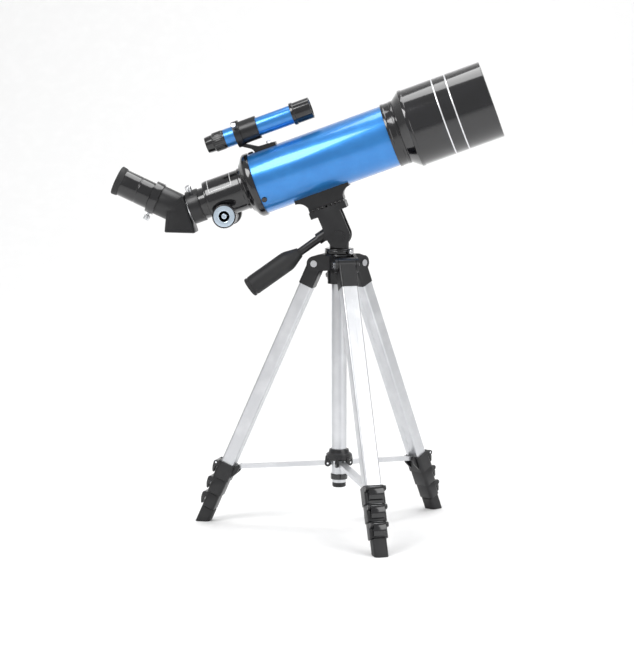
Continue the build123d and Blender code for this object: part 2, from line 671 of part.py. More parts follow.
HOLDER_SCREW = Plane(origin=BEND.origin + BEND.x_dir * 37.8, x_dir=-BEND.y_dir, z_dir=(0, -1, 0))


def diagonal_prism():
    """The glass erecting prism in the diagonal."""
    with BuildPart() as body:
        extrude(inset_outline(2.4), amount=15.2, both=True)
        turn(BEND, [(8.5, 0), (8.5, 17), (60, 17), (60, 0)], Mode.SUBTRACT)
        rod(ALONG, -166.4, -140, 14, mode=Mode.SUBTRACT)
    save(body, "diagonal_prism")


def eyepiece():
    """The eyepiece: a plated barrel, a moulded body and a flared rubber eyecup."""
    with BuildPart() as body:
        turn(BEND, [(12, 12.5), (12, BARREL_RADIUS), (43.5, BARREL_RADIUS), (43.5, 17), (83, 17), (86, 18.4),
                    (91, 18.6), (91, 15.5), (84, 9), (70, 9), (70, 12.5)])
    save(body, "eyepiece")


def finder_bracket():
    """The finder's stalk, its ring with the adjusting screws, and the sleeve around the finder."""
    with BuildPart() as body:
        turn(FINDER, [(-79, 14.4), (-79, 16.5), (-71, 16.5), (-71, 14.4), (-49, 14.4), (-49, 11.75 + GAP),
                      (-71, 11.75 + GAP), (-71, 13.2), (-79, 13.2)])
        slab(SIDE, [(-79, FINDER_V - 14), (-71, FINDER_V - 14), (-57, 43.5), (-35, 42), (-35, 39), (-62, 39),
                    (-66, 43.5)], -6, 6)
        slab(SIDE, [(-57, 43.5), (-35, 42), (-35, 36), (-62, 36), (-64, 42)], -9, 9)
        rod(ALONG, -90, -20, TUBE_RADIUS, mode=Mode.SUBTRACT)
        turn(FINDER, [(-100, 0), (-100, 11.75 + GAP), (-20, 11.75 + GAP), (-20, 0)], Mode.SUBTRACT)
    save(body, "finder_bracket")


def finder_tube():
    """The finder: objective cell, tube and eyepiece, in one closed body."""
    with BuildPart() as body:
        turn(FINDER, [(21, 0), (21, 12.2), (19, 13.3), (0, 13.3), (0, 14.15), (-4, 14.15), (-4, 11.75),
                      (-92, 11.75), (-92, 12), (-104, 12), (-106, 10.8), (-117, 10), (-117, 0)])
        turn(FINDER, [(22, 0), (22, 11.4), (12, 10.6), (12, 0)], Mode.SUBTRACT)
        turn(FINDER, [(-118, 0), (-118, 7.5), (-113, 6), (-113, 0)], Mode.SUBTRACT)
    save(body, "finder_tube")


def finder_screws():
    """Two plated adjusting screws in the ring, and the two nuts that hold the foot."""
    with BuildPart() as body:
        for turn_angle in (30, 150):
            angle = radians(turn_angle)
            outwards = Vector(0, -1, 0) * cos(angle) + ABOVE * sin(angle)
            plane = Plane(origin=FINDER.origin + AHEAD * -75, x_dir=AHEAD, z_dir=outwards)
            rod(plane, 16.5, 19, 1.4)
            rod(plane, 19, 25, 3.2)
        for near in (-6, 6):
            nut = Plane(origin=OPTICAL_ORIGIN + AHEAD * -43 + Vector(0, near, 0), x_dir=AHEAD, z_dir=ABOVE)
            rod(nut, 42.9, 46, 2.6)
    save(body, "finder_screws")


shoulder()
shoulder_screws()
guide_tube()
column_lock_knob()
centre_column()
column_end_cap()
pan_base()
spreader_hub()
hub_pins()
for number, azimuth in enumerate(LEG_AZIMUTHS, 1):
    strut(number, azimuth)
    leg_fittings(number, azimuth)
    leg_tube(number, azimuth)
    for stage in (1, 2, 3):
        leg_stage(number, azimuth, stage)
    for index in range(3):
        leg_lever(number, azimuth, index)
pan_neck()
pan_lock_screw()
tilt_yoke()
platform()
camera_screw()
handle_rod()
handle_grip()
saddle()
main_tube()
lens_cell()
objective_lenses()
dew_shield()
rear_cell()
tube_screws()
focuser_body()
focus_knobs()
drawtube()
ring_screw()
diagonal_housing()
diagonal_prism()
eyepiece()
finder_bracket()
finder_tube()
finder_screws()
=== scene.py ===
import json
import bmesh
import bpy
import numpy as np
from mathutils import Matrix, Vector


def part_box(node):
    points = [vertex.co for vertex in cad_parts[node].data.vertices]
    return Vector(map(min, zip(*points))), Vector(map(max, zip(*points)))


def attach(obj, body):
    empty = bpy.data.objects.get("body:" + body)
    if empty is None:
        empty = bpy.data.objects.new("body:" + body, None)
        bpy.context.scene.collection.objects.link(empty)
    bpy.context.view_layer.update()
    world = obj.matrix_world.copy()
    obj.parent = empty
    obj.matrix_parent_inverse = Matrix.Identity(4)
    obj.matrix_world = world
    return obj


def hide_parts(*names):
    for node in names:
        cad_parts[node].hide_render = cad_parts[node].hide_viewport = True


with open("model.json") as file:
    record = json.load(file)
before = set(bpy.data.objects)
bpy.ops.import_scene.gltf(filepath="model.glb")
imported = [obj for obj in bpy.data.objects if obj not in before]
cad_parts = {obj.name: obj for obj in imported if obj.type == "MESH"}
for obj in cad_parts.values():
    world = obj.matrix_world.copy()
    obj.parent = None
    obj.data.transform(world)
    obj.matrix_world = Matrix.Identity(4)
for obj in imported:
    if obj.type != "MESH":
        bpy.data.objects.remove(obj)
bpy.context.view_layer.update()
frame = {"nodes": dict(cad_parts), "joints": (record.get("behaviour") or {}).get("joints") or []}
JOINTS = {joint["name"]: joint for joint in frame["joints"]}
NODES = frame["nodes"]

# Dimensions in metres. Distances "along" run forwards on the optical axis from the point above the tilt axis.
TUBE_RADIUS = 0.0384
TUBE_BACK = -0.073
TUBE_FRONT = 0.1014
CELL_FRONT = 0.1154
SHIELD_RADIUS = 0.0483
SHIELD_FRONT = 0.233
FOCUSER_RADIUS = 0.0255
FOCUSER_BACK = -0.139
FOCUSER_FRONT = -0.0885
CLAMP_BACK = -0.163
CLAMP_FRONT = -0.148
BARREL_RADIUS = 0.015875
FINDER_RADIUS = 0.01175
FINDER_RISE = 0.066
RING_SCREW_ALONG = -0.1555
GUIDE_RADIUS = 0.0094
COLUMN_RADIUS = 0.0085
COLLAR_TOPS = (0.281, 0.3035, 0.325)
COLLAR_WIDTHS = (0.0255, 0.024, 0.0225)
FOOT_TOP = 0.345
TUBE_WIDTH = 0.0205
TUBE_DEPTH = 0.017
STAGE_STEP = 0.0024
COLLAR_RIM = 0.0042
STRUT_FOOT = 0.2796
STRUT_INSET = 0.014
TURNS = 96


# ------------------------------------------------------------------ mesh helpers
def unit(values):
    """A vector of length one."""
    values = np.array(values, float)
    return values / np.linalg.norm(values)


def piece(name, vertices, faces, material, body, replaced=(), sharp=32):
    """A finished mesh from points and faces: outward normals, smooth faces, sharp edges over an angle."""
    mesh = bpy.data.meshes.new(name)
    mesh.from_pydata(np.asarray(vertices).tolist(), [], faces)
    work = bmesh.new()
    work.from_mesh(mesh)
    bmesh.ops.remove_doubles(work, verts=work.verts, dist=1e-7)
    bmesh.ops.recalc_face_normals(work, faces=work.faces)
    work.to_mesh(mesh)
    work.free()
    mesh.shade_smooth()
    mesh.set_sharp_from_angle(angle=np.radians(sharp))
    made = bpy.data.objects.new(name, mesh)
    bpy.context.scene.collection.objects.link(made)
    mesh.materials.append(material)
    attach(made, body)
    if replaced:
        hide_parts(*replaced)
    return made


def softened(outline, radius, steps=3):
    """A closed outline whose corners are quadratic curves that start one radius before each corner."""
    outline = np.array(outline, float)
    before = np.roll(outline, 1, axis=0) - outline
    after = np.roll(outline, -1, axis=0) - outline
    first = np.linalg.norm(before, axis=1, keepdims=True)
    second = np.linalg.norm(after, axis=1, keepdims=True)
    start = outline + before / first * np.minimum(radius, 0.4 * first)
    end = outline + after / second * np.minimum(radius, 0.4 * second)
    t = np.linspace(0, 1, steps + 1)[None, :, None]
    curve = (1 - t) ** 2 * start[:, None] + 2 * t * (1 - t) * outline[:, None] + t ** 2 * end[:, None]
    return curve.reshape(-1, 2)


def grid_faces(rows, columns, wrap_rows=True):
    """Quads of a grid whose columns close on themselves, and whose rows may."""
    last = rows if wrap_rows else rows - 1
    i, j = np.meshgrid(np.arange(last), np.arange(columns), indexing="ij")
    k, m = (i + 1) % rows, (j + 1) % columns
    quads = np.stack([i * columns + j, k * columns + j, k * columns + m, i * columns + m], axis=-1)
    return quads.reshape(-1, 4).tolist()


def turned(name, origin, axis, outline, material, body, replaced=(), soft=0.0004,
           ripples=0, ripple_depth=0.0, ripple_span=None, sharp=32):
    """A surface of revolution.

    A point is origin + axis * along + radius * (cos turn * side + sin turn * up), for a closed outline of
    (along, radius). A rippled stretch adds depth * cos(ripples * turn) to the radius for a knurl.
    """
    axis = unit(axis)
    helper = np.array([0.0, 1.0, 0.0]) if abs(axis[1]) < 0.9 else np.array([1.0, 0.0, 0.0])
    side = unit(np.cross(axis, helper))
    up = np.cross(side, axis)
    profile = softened(outline, soft)
    turns = max(TURNS, ripples * 6)
    angle = np.arange(turns) * 2 * np.pi / turns
    radius = np.maximum(profile[:, 1:2], 0.0) * np.ones((1, turns))
    if ripples:
        low, high, least = ripple_span
        inside = (profile[:, 0] > low) & (profile[:, 0] < high) & (profile[:, 1] > least)
        radius = radius - inside[:, None] * ripple_depth * (0.5 + 0.5 * np.cos(ripples * angle))[None, :]
    ring = np.cos(angle)[:, None] * side + np.sin(angle)[:, None] * up
    points = np.array(origin) + profile[:, 0, None, None] * axis + radius[..., None] * ring[None]
    return piece(name, points.reshape(-1, 3), grid_faces(len(profile), turns), material, body,
                 replaced, sharp)


def rounded_section(depth, width, corner, steps=6):
    """A rounded rectangle: corner centres plus corner * (cos, sin) over each quarter turn."""
    corner = min(corner, depth / 2 - 1e-5, width / 2 - 1e-5)
    quarter = np.linspace(0, np.pi / 2, steps)
    centres = [(1, 1), (-1, 1), (-1, -1), (1, -1)]
    parts = []
    for index, (sx, sy) in enumerate(centres):
        angle = quarter + index * np.pi / 2
        middle = np.array([sx * (depth / 2 - corner), sy * (width / 2 - corner)])
        parts.append(middle + corner * np.stack([np.cos(angle), np.sin(angle)], axis=1))
    return np.concatenate(parts)


def loft(name, origin, axes, stations, material, body, replaced=(), sharp=32):
    """Sections carried along a line: origin + along * axis + x * out + y * across, capped at both ends.

    Each station is (distance, section), and all sections have the same number of points.
    """
    along, out, across = axes
    rings = [np.array(origin) + distance * along + section[:, :1] * out + section[:, 1:] * across
             for distance, section in stations]
    count = len(rings[0])
    faces = grid_faces(len(rings), count, wrap_rows=False)
    faces.append(list(range(count))[::-1])
    faces.append(list(range((len(rings) - 1) * count, len(rings) * count)))
    return piece(name, np.concatenate(rings), faces, material, body, replaced, sharp)


def sleeve(name, origin, axes, start, end, depth, width, corner, material, body, replaced=(),
           edge=0.0006):
    """A rounded bar along a leg with softened ends."""
    def section(inset):
        return rounded_section(depth - 2 * inset, width - 2 * inset, corner)
    stations = [(start, section(edge)), (start + edge * 0.3, section(edge * 0.3)), (start + edge, section(0)),
                (end - edge, section(0)), (end - edge * 0.3, section(edge * 0.3)), (end, section(edge))]
    return loft(name, origin, axes, stations, material, body, replaced)


def plate(name, origin, axes, outline, low, high, material, body, replaced=(), soft=0.0006):
    """A closed outline in (x, y) carried from low to high along the third axis, with a chamfer at each face."""
    x_axis, y_axis, z_axis = axes
    profile = softened(outline, soft * 2)
    centre = profile.mean(axis=0)
    scale = 1 - soft / np.abs(profile - centre).max()
    small = centre + (profile - centre) * scale
    stations = [(low, small), (low + soft, profile), (high - soft, profile), (high, small)]
    return loft(name, origin, (z_axis, x_axis, y_axis), stations, material, body, replaced)


# ------------------------------------------------------------------ materials
def socket_group(name, inputs, outputs):
    """A new shader node group with named sockets."""
    group = bpy.data.node_groups.new(name, "ShaderNodeTree")
    for label, kind, value in inputs:
        made = group.interface.new_socket(label, in_out="INPUT", socket_type=kind)
        if value is not None:
            made.default_value = value
    for label, kind in outputs:
        group.interface.new_socket(label, in_out="OUTPUT", socket_type=kind)
    return group, group.nodes.new("NodeGroupInput"), group.nodes.new("NodeGroupOutput")


def surface_grain_group():
    """Fine grain: one noise as a height, and slow blotches that vary colour and roughness."""
    group, start, end = socket_group(
        "surface_grain",
        [("Grain Scale", "NodeSocketFloat", 900.0), ("Blotch Scale", "NodeSocketFloat", 40.0),
         ("Base", "NodeSocketColor", (0.5, 0.5, 0.5, 1)), ("Dusty", "NodeSocketColor", (0.6, 0.6, 0.6, 1)),
         ("Low Roughness", "NodeSocketFloat", 0.3), ("High Roughness", "NodeSocketFloat", 0.5)],
        [("Color", "NodeSocketColor"), ("Roughness", "NodeSocketFloat"), ("Height", "NodeSocketFloat")])
    links = group.links
    place = group.nodes.new("ShaderNodeTexCoord")
    fine = group.nodes.new("ShaderNodeTexNoise")
    slow = group.nodes.new("ShaderNodeTexNoise")
    fine.inputs["Detail"].default_value = 3
    slow.inputs["Detail"].default_value = 4
    mix = group.nodes.new("ShaderNodeMix")
    mix.data_type = "RGBA"
    ramp = group.nodes.new("ShaderNodeMapRange")
    mask = group.nodes.new("ShaderNodeMapRange")
    mask.inputs["From Min"].default_value = 0.45
    mask.inputs["From Max"].default_value = 0.75
    links.new(place.outputs["Object"], fine.inputs["Vector"])
    links.new(place.outputs["Object"], slow.inputs["Vector"])
    links.new(start.outputs["Grain Scale"], fine.inputs["Scale"])
    links.new(start.outputs["Blotch Scale"], slow.inputs["Scale"])
    links.new(slow.outputs["Fac"], mask.inputs["Value"])
    links.new(mask.outputs["Result"], mix.inputs["Factor"])
    links.new(start.outputs["Base"], mix.inputs["A"])
    links.new(start.outputs["Dusty"], mix.inputs["B"])
    links.new(slow.outputs["Fac"], ramp.inputs["Value"])
    links.new(start.outputs["Low Roughness"], ramp.inputs["To Min"])
    links.new(start.outputs["High Roughness"], ramp.inputs["To Max"])
    links.new(mix.outputs["Result"], end.inputs["Color"])
    links.new(ramp.outputs["Result"], end.inputs["Roughness"])
    links.new(fine.outputs["Fac"], end.inputs["Height"])
    return group


GRAIN = surface_grain_group()


def finish(name, base, dusty, rough, metallic=0.0, grain=900.0, blotch=40.0, bump=0.05, depth=0.0002,
           coat=0.0, coat_rough=0.05, specular=0.5):
    """A material made of the surface grain group and its own shader."""
    made = bpy.data.materials.new(name)
    made.use_nodes = True
    nodes, links = made.node_tree.nodes, made.node_tree.links
    shader = nodes["Principled BSDF"]
    group = nodes.new("ShaderNodeGroup")
    group.node_tree = GRAIN
    group.inputs["Grain Scale"].default_value = grain
    group.inputs["Blotch Scale"].default_value = blotch
    group.inputs["Base"].default_value = (*base, 1)
    group.inputs["Dusty"].default_value = (*dusty, 1)
    group.inputs["Low Roughness"].default_value = rough[0]
    group.inputs["High Roughness"].default_value = rough[1]
    links.new(group.outputs["Color"], shader.inputs["Base Color"])
    links.new(group.outputs["Roughness"], shader.inputs["Roughness"])
    shader.inputs["Metallic"].default_value = metallic
    shader.inputs["Coat Weight"].default_value = coat
    shader.inputs["Coat Roughness"].default_value = coat_rough
    shader.inputs["Specular IOR Level"].default_value = specular
    relief = nodes.new("ShaderNodeBump")
    relief.inputs["Strength"].default_value = bump
    relief.inputs["Distance"].default_value = depth
    links.new(group.outputs["Height"], relief.inputs["Height"])
    links.new(relief.outputs["Normal"], shader.inputs["Normal"])
    return made


def clear_glass(name, tint):
    """Coated optical glass: a clear shader with a faint tinted reflection."""
    made = bpy.data.materials.new(name)
    made.use_nodes = True
    shader = made.node_tree.nodes["Principled BSDF"]
    shader.inputs["Base Color"].default_value = (*tint, 1)
    shader.inputs["Roughness"].default_value = 0.02
    shader.inputs["IOR"].default_value = 1.5
    shader.inputs["Transmission Weight"].default_value = 0.9
    shader.inputs["Coat Weight"].default_value = 0.6
    shader.inputs["Coat Tint"].default_value = (0.6, 0.8, 1.0, 1)
    return made


BLUE = finish("metallic_blue_paint", (0.022, 0.20, 0.56), (0.028, 0.23, 0.61), (0.26, 0.34), metallic=0.6,
              grain=2600, blotch=60, bump=0.03, coat=0.8, coat_rough=0.08)
SHIELD_PAINT = finish("deep_black_gloss", (0.002, 0.002, 0.003), (0.004, 0.004, 0.006), (0.10, 0.16), metallic=0.0,
                      grain=1500, blotch=50, bump=0.02, coat=0.7, coat_rough=0.06)
GLOSS_BLACK = finish("gloss_black_moulding", (0.003, 0.003, 0.004), (0.008, 0.008, 0.009), (0.12, 0.22), grain=1200,
                     bump=0.03, coat=0.5)
SATIN_BLACK = finish("satin_black_moulding", (0.005, 0.005, 0.006), (0.012, 0.012, 0.013), (0.28, 0.4),
                     grain=2200, bump=0.12)
MATT_BLACK = finish("flocked_black", (0.004, 0.004, 0.005), (0.01, 0.01, 0.01), (0.8, 0.95), grain=3000, bump=0.3)
RUBBER = finish("soft_rubber", (0.007, 0.007, 0.008), (0.016, 0.016, 0.016), (0.5, 0.66), grain=1800, bump=0.2)
SILVER = finish("satin_anodised_tube", (0.60, 0.61, 0.63), (0.70, 0.71, 0.73), (0.26, 0.36), metallic=0.85,
                grain=1500, bump=0.03)
CHROME = finish("bright_plating", (0.78, 0.79, 0.81), (0.70, 0.71, 0.74), (0.08, 0.16), metallic=1.0, grain=800,
                bump=0.01)
PINSTRIPE = finish("silver_pinstripe", (0.72, 0.73, 0.75), (0.8, 0.8, 0.82), (0.3, 0.4), metallic=0.6, grain=2000)
KNOB_FACE = finish("pale_blue_silver_face", (0.52, 0.62, 0.72), (0.6, 0.68, 0.76), (0.2, 0.3), metallic=0.7,
                   grain=2500, bump=0.03, coat=0.3)
LABEL_WHITE = finish("printed_white", (0.6, 0.6, 0.6), (0.7, 0.7, 0.7), (0.4, 0.5))
GLASS = clear_glass("coated_glass", (0.92, 0.97, 1.0))


def dress(names, material):
    """Give carried-over CAD nodes a finish."""
    for name in names:
        mesh = NODES[name].data
        mesh.materials.clear()
        mesh.materials.append(material)


# ------------------------------------------------------------------ telescope
AHEAD = unit(JOINTS["diagonal_turn"]["axis"])
ABOVE = np.array([-AHEAD[2], 0.0, AHEAD[0]])
NEAR = np.array([0.0, -1.0, 0.0])
OPTICS = np.array(JOINTS["diagonal_turn"]["pos_m"]) - AHEAD * RING_SCREW_ALONG
FINDER = OPTICS + ABOVE * FINDER_RISE
BEND = unit(JOINTS["eyepiece_slide"]["axis"])
BEND_POINT = OPTICS - AHEAD * 0.1734


def tube_and_shield():
    """The painted tube, the objective's cell and the dew shield with its two stripes."""
    inner = TUBE_RADIUS - 0.0012
    turned("tube_shell", OPTICS, AHEAD,
           [(TUBE_BACK, inner), (TUBE_BACK, TUBE_RADIUS), (TUBE_FRONT, TUBE_RADIUS), (TUBE_FRONT, inner)],
           BLUE, "tilt_head", ["main_tube"])
    turned("tube_lining", OPTICS, AHEAD,
           [(TUBE_BACK + 0.01, inner - 0.0004), (TUBE_BACK + 0.01, inner - 0.0001), (0.092, inner - 0.0001),
            (0.092, inner - 0.0004)], MATT_BLACK, "tilt_head", soft=0.0)
    turned("objective_cell", OPTICS, AHEAD,
           [(0.093, 0.0335), (0.093, inner - 0.0001), (TUBE_FRONT, inner - 0.0001), (TUBE_FRONT, 0.0402),
            (0.1045, 0.0402), (0.105, 0.0398), (0.1118, 0.0398), (0.1123, 0.0402), (CELL_FRONT, 0.0402),
            (CELL_FRONT, 0.0351), (0.0948, 0.0351), (0.0948, 0.0335)], GLOSS_BLACK, "tilt_head", ["lens_cell"])
    outer = SHIELD_RADIUS
    shield_inner = outer - 0.0012
    turned("dew_shield_shell", OPTICS, AHEAD,
           [(CELL_FRONT + 0.0001, 0.0365), (CELL_FRONT + 0.0001, 0.0400), (0.1168, 0.0402), (0.127, outer),
            (0.127, outer + 0.0008), (0.131, outer + 0.0008), (0.131, outer), (SHIELD_FRONT, outer),
            (SHIELD_FRONT, shield_inner), (0.130, shield_inner), (0.118, 0.0380), (0.118, 0.0365)],
           SHIELD_PAINT, "tilt_head", ["dew_shield"])
    turned("dew_shield_lining", OPTICS, AHEAD,
           [(0.131, shield_inner - 0.0003), (0.131, shield_inner - 0.00005), (0.2315, shield_inner - 0.00005),
            (0.2315, shield_inner - 0.0003)], MATT_BLACK, "tilt_head", soft=0.0)
    for number, middle in enumerate((0.171, 0.188), 1):
        turned(f"shield_stripe_{number}", OPTICS, AHEAD,
               [(middle - 0.0008, outer - 0.0001), (middle - 0.0008, outer + 0.00012),
                (middle + 0.0008, outer + 0.00012), (middle + 0.0008, outer - 0.0001)],
               PINSTRIPE, "tilt_head", soft=0.00005)


def lenses():
    """The objective as two closed elements whose faces are spherical caps."""
    rim = 0.035
    heights = np.linspace(0, rim, 24)

    def cap(vertex, sag):
        """Axial position of a face at each height: vertex minus sag * (height / rim) squared."""
        return vertex - sag * (heights / rim) ** 2
    for number, (back, back_sag, front, front_sag) in enumerate(
            ((0.0960, 0.0008, 0.0980, -0.0030), (0.0990, -0.0030, 0.1080, 0.0034)), 1):
        face = np.stack([cap(front, front_sag), heights], axis=1)
        rear = np.stack([cap(back, back_sag), heights], axis=1)[::-1]
        outline = np.concatenate([face, rear])
        turned(f"objective_element_{number}", OPTICS, AHEAD, outline, GLASS, "tilt_head",
               ["objective_lenses"], soft=0.0)


def rear_and_focuser():
    """The rear cone, the focuser barrel with its pinion housing, blank label and the screws."""
    inner = TUBE_RADIUS - 0.0012
    turned("rear_cone", OPTICS, AHEAD,
           [(-0.065, 0.035), (-0.065, inner - 0.0001), (TUBE_BACK, inner - 0.0001), (TUBE_BACK, 0.0405),
            (-0.0795, 0.0405), (-0.0822, 0.0385), (-0.0868, 0.0312), (FOCUSER_FRONT, 0.030),
            (FOCUSER_FRONT, 0.0205), (-0.0845, 0.0205), (-0.0845, 0.028), (-0.079, 0.035)],
           GLOSS_BLACK, "tilt_head", ["rear_cell"], soft=0.0012)
    turned("focuser_barrel", OPTICS, AHEAD,
           [(-0.0845, 0.0197), (-0.0845, 0.0204), (FOCUSER_FRONT, 0.0204), (FOCUSER_FRONT, 0.0265),
            (-0.0925, 0.0265), (-0.0925, FOCUSER_RADIUS), (-0.1365, FOCUSER_RADIUS), (-0.1372, 0.0250),
            (FOCUSER_BACK, 0.0250), (FOCUSER_BACK, 0.0197)], GLOSS_BLACK, "tilt_head", ["focuser_body"],
           soft=0.0008)
    arch = [(-0.134, -0.019), (-0.134, -0.029), (-0.1295, -0.0355), (-0.1225, -0.0372), (-0.1155, -0.0355),
            (-0.111, -0.029), (-0.111, -0.019)]
    plate("pinion_housing", OPTICS, (AHEAD, ABOVE, NEAR), arch, -0.013, 0.013, SATIN_BLACK, "tilt_head",
          ["focuser_body"])
    label_frame()
    for turn_angle in (-32, 88, 208):
        angle = np.radians(turn_angle)
        outwards = NEAR * np.cos(angle) + ABOVE * np.sin(angle)
        turned(f"tube_screw_{turn_angle % 360}", OPTICS - AHEAD * 0.069, outwards,
               [(0.0378, 0), (0.0378, 0.0035), (0.0396, 0.0035), (0.0402, 0.0022), (0.0403, 0)], GLOSS_BLACK,
               "tilt_head", ["tube_screws"], soft=0.0003)


def label_frame():
    """A printed rectangle that bends round the barrel: four bands on a cylinder just outside it."""
    radius = FOCUSER_RADIUS + 0.00012
    bands = [(-0.132, -0.1313, 24, 122), (-0.1027, -0.102, 24, 122), (-0.132, -0.102, 24, 26),
             (-0.132, -0.102, 120, 122)]
    for number, (low, high, first, last) in enumerate(bands, 1):
        angle = np.radians(np.linspace(first, last, 40))
        ring = np.cos(angle)[:, None] * NEAR + np.sin(angle)[:, None] * ABOVE
        corners = [(low, radius - 0.0003), (high, radius - 0.0003), (high, radius), (low, radius)]
        points = [OPTICS + along * AHEAD + reach * ring for along, reach in corners]
        count = len(angle)
        order = np.stack(points, axis=1).reshape(-1, 3)
        faces = grid_faces(count, 4, wrap_rows=False)
        faces += [[0, 1, 2, 3], [4 * count - 1, 4 * count - 2, 4 * count - 3, 4 * count - 4]]
        piece(f"label_band_{number}", order, faces, LABEL_WHITE, "tilt_head")


def focus_knob_set():
    """The pinion shaft and two knobs, each a ribbed rim with a pale disc let into its face."""
    centre = np.array(JOINTS["focus"]["pos_m"])
    turned("pinion_shaft", centre, NEAR, [(-0.03, 0), (-0.03, 0.003), (0.03, 0.003), (0.03, 0)], CHROME,
           "focus_knobs", ["focus_knobs"])
    for side, label in ((1, "near"), (-1, "far")):
        turned(f"knob_rim_{label}", centre, NEAR * side,
               [(0.022, 0), (0.022, 0.005), (0.027, 0.005), (0.027, 0.0145), (0.028, 0.015), (0.0362, 0.015),
                (0.037, 0.0142), (0.037, 0.0133), (0.0364, 0.0132), (0.0364, 0)], GLOSS_BLACK, "focus_knobs",
               ["focus_knobs"], ripples=48, ripple_depth=0.0005, ripple_span=(0.0275, 0.0366, 0.0146))
        turned(f"knob_face_{label}", centre, NEAR * side,
               [(0.0362, 0), (0.0362, 0.0131), (0.0367, 0.0131), (0.0367, 0.0075), (0.0364, 0.0070),
                (0.0364, 0.0030), (0.0368, 0.0026), (0.0368, 0)], KNOB_FACE, "focus_knobs",
               ["focus_knobs"], soft=0.0002)


def drawtube_set():
    """The drawtube, its ribbed clamp ring and the thumbscrew."""
    bore = BARREL_RADIUS + 0.00007
    turned("drawtube_sleeve", OPTICS, AHEAD,
           [(-0.06, 0.0178), (-0.06, 0.0195), (CLAMP_FRONT, 0.0195), (CLAMP_FRONT, 0.0178)], GLOSS_BLACK,
           "drawtube", ["drawtube"])
    turned("clamp_ring", OPTICS, AHEAD,
           [(CLAMP_BACK, bore), (CLAMP_BACK, 0.0208), (CLAMP_FRONT, 0.0208), (CLAMP_FRONT, bore)], SATIN_BLACK,
           "drawtube", ["drawtube"], ripples=60, ripple_depth=0.0004,
           ripple_span=(-0.1618, -0.1565, 0.02))
    thumbscrew("clamp_thumbscrew", np.array(JOINTS["ring_screw_turn"]["pos_m"]),
               JOINTS["ring_screw_turn"]["axis"], 0.0162, 0.0208, 0.031, "ring_screw", ["ring_screw"])


def thumbscrew(name, origin, axis, start, seat, end, body, replaced=(), head=0.0036):
    """A plated screw with a ribbed round head on a thinner neck."""
    turned(name, origin, axis,
           [(start, 0), (start, 0.0015), (seat + 0.0025, 0.0015), (seat + 0.003, head - 0.0006),
            (seat + 0.0036, head), (end - 0.0006, head), (end, head - 0.0007), (end, 0)], CHROME, body,
           replaced, ripples=22, ripple_depth=0.0003, ripple_span=(seat + 0.0034, end - 0.0004, 0.003))


def diagonal_and_eyepiece():
    """The prism box with its nose, holder and clamp, and the eyepiece with its eyecup."""
    box = [(-0.164, 0.019), (-0.166, -0.031), (-0.202, -0.017), (-0.190, 0.008)]
    plate("prism_box", OPTICS, (AHEAD, ABOVE, NEAR), box, -0.018, 0.018, SATIN_BLACK, "diagonal",
          ["diagonal_housing"], soft=0.0012)
    plate("prism_plate_near", OPTICS, (AHEAD, ABOVE, NEAR),
          [(-0.1665, 0.013), (-0.1680, -0.027), (-0.197, -0.0155), (-0.186, 0.006)], 0.0175, 0.0186, GLOSS_BLACK,
          "diagonal", soft=0.0003)
    plate("prism_plate_far", OPTICS, (AHEAD, ABOVE, NEAR),
          [(-0.1665, 0.013), (-0.1680, -0.027), (-0.197, -0.0155), (-0.186, 0.006)], -0.0186, -0.0175, GLOSS_BLACK,
          "diagonal", soft=0.0003)
    turned("diagonal_nose", OPTICS, AHEAD,
           [(-0.168, 0.013), (-0.168, BARREL_RADIUS), (-0.149, BARREL_RADIUS), (-0.149, 0.013)], CHROME,
           "diagonal", ["diagonal_housing"])
    bore = BARREL_RADIUS + 0.00007
    turned("eyepiece_holder", BEND_POINT, BEND,
           [(0.008, bore), (0.008, 0.0187), (0.0325, 0.0187), (0.0325, bore)], SATIN_BLACK, "diagonal",
           ["diagonal_housing"])
    turned("holder_clamp", BEND_POINT, BEND,
           [(0.0325, bore), (0.0325, 0.0205), (0.0431, 0.0205), (0.0431, bore)], GLOSS_BLACK, "diagonal",
           ["diagonal_housing"], ripples=56, ripple_depth=0.0004,
           ripple_span=(0.0332, 0.0424, 0.02))
    down_screw = -unit(np.cross(NEAR, BEND))
    if down_screw[2] > 0:
        down_screw = -down_screw
    thumbscrew("holder_thumbscrew", BEND_POINT + BEND * 0.0378, down_screw, 0.0162, 0.0205, 0.030, "diagonal",
               ["diagonal_housing"])
    turned("eyepiece_tube", BEND_POINT, BEND,
           [(0.012, 0.0125), (0.012, BARREL_RADIUS), (0.0433, BARREL_RADIUS), (0.0433, 0.0125)], CHROME,
           "eyepiece", ["eyepiece"])
    turned("eyepiece_body", BEND_POINT, BEND,
           [(0.0435, 0.0125), (0.0435, 0.0168), (0.0455, 0.0170), (0.060, 0.0170), (0.0604, 0.0167), (0.0616, 0.0167),
            (0.062, 0.0170), (0.083, 0.0170), (0.083, 0.0125)], GLOSS_BLACK, "eyepiece", ["eyepiece"])
    turned("eyecup", BEND_POINT, BEND,
           [(0.0825, 0.0125), (0.0825, 0.0172), (0.0855, 0.0182), (0.0900, 0.0186), (0.0910, 0.0178),
            (0.0910, 0.0155), (0.0850, 0.0095), (0.0835, 0.0095)], RUBBER, "eyepiece", ["eyepiece"],
           soft=0.0008)
    turned("eye_lens", BEND_POINT, BEND,
           [(0.0795, 0), (0.0805, 0.0124), (0.0825, 0.0124), (0.0840, 0)], GLASS, "eyepiece", ["eyepiece"],
           soft=0.0)


